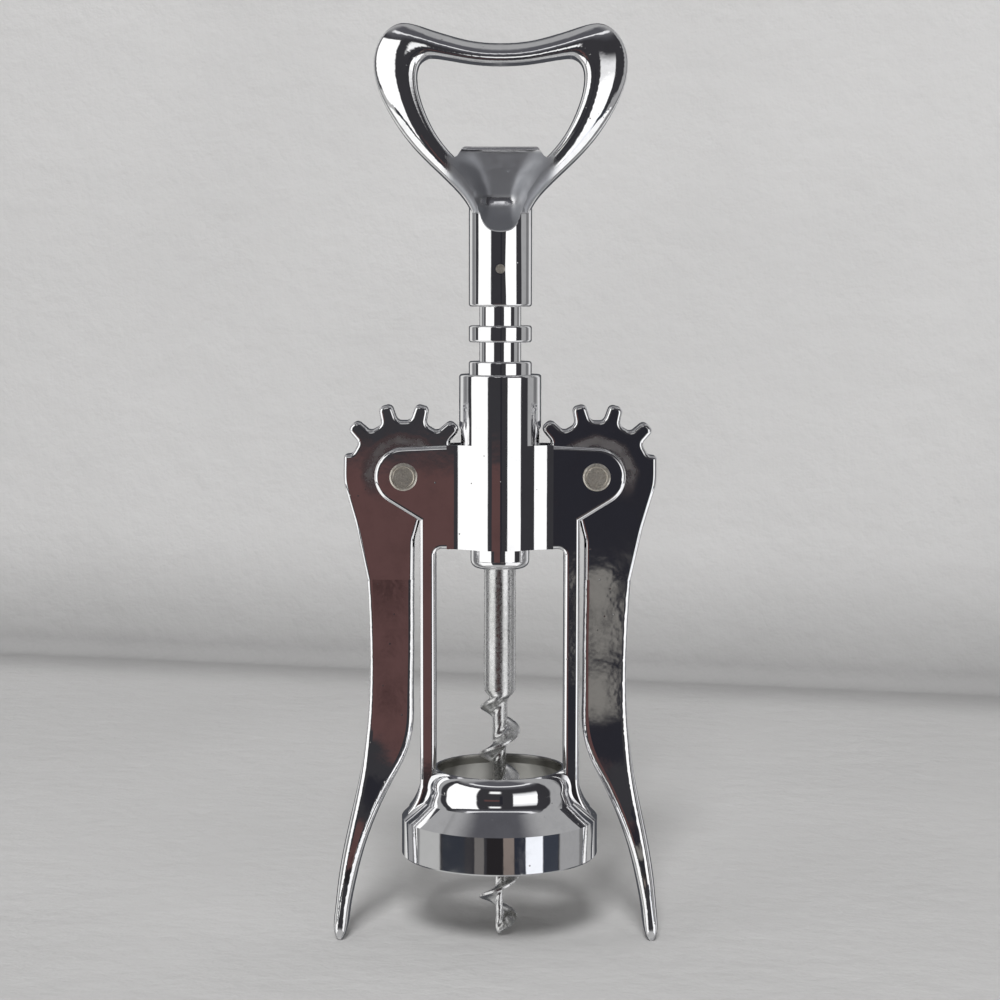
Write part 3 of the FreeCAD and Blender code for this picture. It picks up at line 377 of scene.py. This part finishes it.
def floor_and_backdrop():
    """One cloth: floor, a small fold and the backdrop behind it."""
    profile = [(FLOOR_FRONT, 0.0)]
    for step in range(FOLD_STEPS + 1):
        turn = math.radians(90 * step / FOLD_STEPS)
        profile.append((FOLD_RADIUS * (math.sin(turn) - 1), FOLD_RADIUS * (1 - math.cos(turn))))
    profile.append((0.0, CLOTH_HEIGHT))
    points = [(across, away, high)
              for across in (-CLOTH_HALF_WIDTH, CLOTH_HALF_WIDTH)
              for away, high in profile]
    count = len(profile)
    faces = [(i, count + i, count + i + 1, i + 1) for i in range(count - 1)]
    mesh = bpy.data.meshes.new("floor_and_backdrop")
    mesh.from_pydata(points, [], faces)
    mesh.polygons.foreach_set("use_smooth", [True] * len(faces))
    mesh.materials.append(cloth())
    obj = bpy.data.objects.new("floor_and_backdrop", mesh)
    obj.location = (0, FOLD, 0)
    obj.rotation_euler = (0, 0, math.radians(FOLD_TURN))
    bpy.context.scene.collection.objects.link(obj)
    obj.visible_glossy = False


def room():
    """Room around the stage, which only the metal's reflections see."""
    bpy.ops.mesh.primitive_uv_sphere_add(segments=ROOM_SEGMENTS, ring_count=ROOM_SEGMENTS // 2,
                                         radius=ROOM_RADIUS, location=(0, 0, ROOM_HEIGHT))
    obj = bpy.context.object
    obj.name = "room"
    material, graph = new_material("room")
    x, y, z = graph.parts(place(graph))
    azimuth = graph.math("ARCTAN2", x, graph.math("MULTIPLY", y, -1.0))
    azimuth = graph.math("MULTIPLY", azimuth, math.degrees(1))
    elevation = graph.math("ARCSINE", graph.math("DIVIDE", z, ROOM_RADIUS))
    elevation = graph.math("MULTIPLY", elevation, math.degrees(1))
    colour = SURROUNDINGS
    for (left, right), (low, high), (soft_across, soft_up), paint in PANELS:
        share = graph.both(graph.between(azimuth, left, right, soft_across),
                           graph.between(elevation, low, high, soft_up))
        colour = graph.mix(share, colour, paint)
    emission = graph.add("ShaderNodeEmission", {"Color": colour, "Strength": ROOM_LIGHT})
    graph.add("ShaderNodeOutputMaterial", {"Surface": emission.outputs[0]})
    obj.data.materials.append(material)
    obj.visible_camera = False
    obj.visible_diffuse = False
    obj.visible_transmission = False
    obj.visible_volume_scatter = False
    obj.visible_shadow = False


def sky():
    """World: plain soft light, pale where the cloth ends."""
    world = bpy.data.worlds.new("studio")
    bpy.context.scene.world = world
    graph = empty_graph(world)
    path = graph.add("ShaderNodeLightPath")
    seen = graph.math("MAXIMUM", path.outputs["Is Camera Ray"], path.outputs["Is Glossy Ray"])
    seen = graph.math("MAXIMUM", seen, path.outputs["Is Transmission Ray"])
    soft = graph.add("ShaderNodeBackground", {"Color": (1, 1, 1, 1), "Strength": WORLD_LIGHT})
    pale = graph.add("ShaderNodeBackground", {"Color": CLOTH + (1,), "Strength": 1.0})
    mixed = graph.add("ShaderNodeMixShader", {0: seen, 1: soft.outputs[0], 2: pale.outputs[0]})
    graph.add("ShaderNodeOutputWorld", {"Surface": mixed.outputs[0]})


def softbox(name, azimuth, elevation, distance, width, height, watts):
    """Softbox aimed at the object, in degrees as for the panels; the metal doesn't mirror it."""
    lamp = bpy.data.lights.new(name, "AREA")
    lamp.shape = "RECTANGLE"
    lamp.size = width
    lamp.size_y = height
    lamp.energy = watts
    obj = bpy.data.objects.new(name, lamp)
    bpy.context.scene.collection.objects.link(obj)
    across, up = math.radians(azimuth), math.radians(elevation)
    away = Vector((math.sin(across) * math.cos(up), -math.cos(across) * math.cos(up), math.sin(up)))
    obj.location = Vector((0, 0, ROOM_HEIGHT)) + away * distance
    obj.rotation_mode = "QUATERNION"
    obj.rotation_quaternion = away.to_track_quat("Z", "Y")
    obj.visible_glossy = False


def lights():
    softbox("window_left", azimuth=-55, elevation=42, distance=4.0, width=2.4, height=2.0, watts=20.0)
    softbox("window_right", azimuth=35, elevation=48, distance=4.0, width=1.8, height=2.0, watts=12.0)
    softbox("ceiling", azimuth=-4, elevation=40, distance=2.5, width=0.6, height=0.6, watts=64.0)


def camera():
    data = bpy.data.cameras.new("camera")
    data.sensor_width = SENSOR_WIDTH
    data.lens = SENSOR_WIDTH * FOCAL_PIXELS / IMAGE_PIXELS
    data.clip_start = 0.01
    data.clip_end = 20.0
    obj = bpy.data.objects.new("camera", data)
    bpy.context.scene.collection.objects.link(obj)
    turn = (LOOK_AT - EYE).to_track_quat("-Z", "Y").to_matrix()
    roll = Matrix.Rotation(math.radians(CAMERA_ROLL), 3, "Z")
    obj.matrix_world = Matrix.Translation(EYE) @ (turn @ roll).to_4x4()
    bpy.context.scene.camera = obj


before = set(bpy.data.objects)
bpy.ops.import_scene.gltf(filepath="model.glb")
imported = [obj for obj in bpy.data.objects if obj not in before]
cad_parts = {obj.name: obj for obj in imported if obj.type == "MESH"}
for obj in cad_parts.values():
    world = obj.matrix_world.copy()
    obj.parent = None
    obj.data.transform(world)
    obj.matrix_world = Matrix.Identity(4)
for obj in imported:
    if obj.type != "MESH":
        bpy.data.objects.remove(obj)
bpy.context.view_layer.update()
finish_nodes(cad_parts)
floor_and_backdrop()
room()
sky()
lights()
camera()
bpy.context.scene.view_settings.view_transform = "Standard"
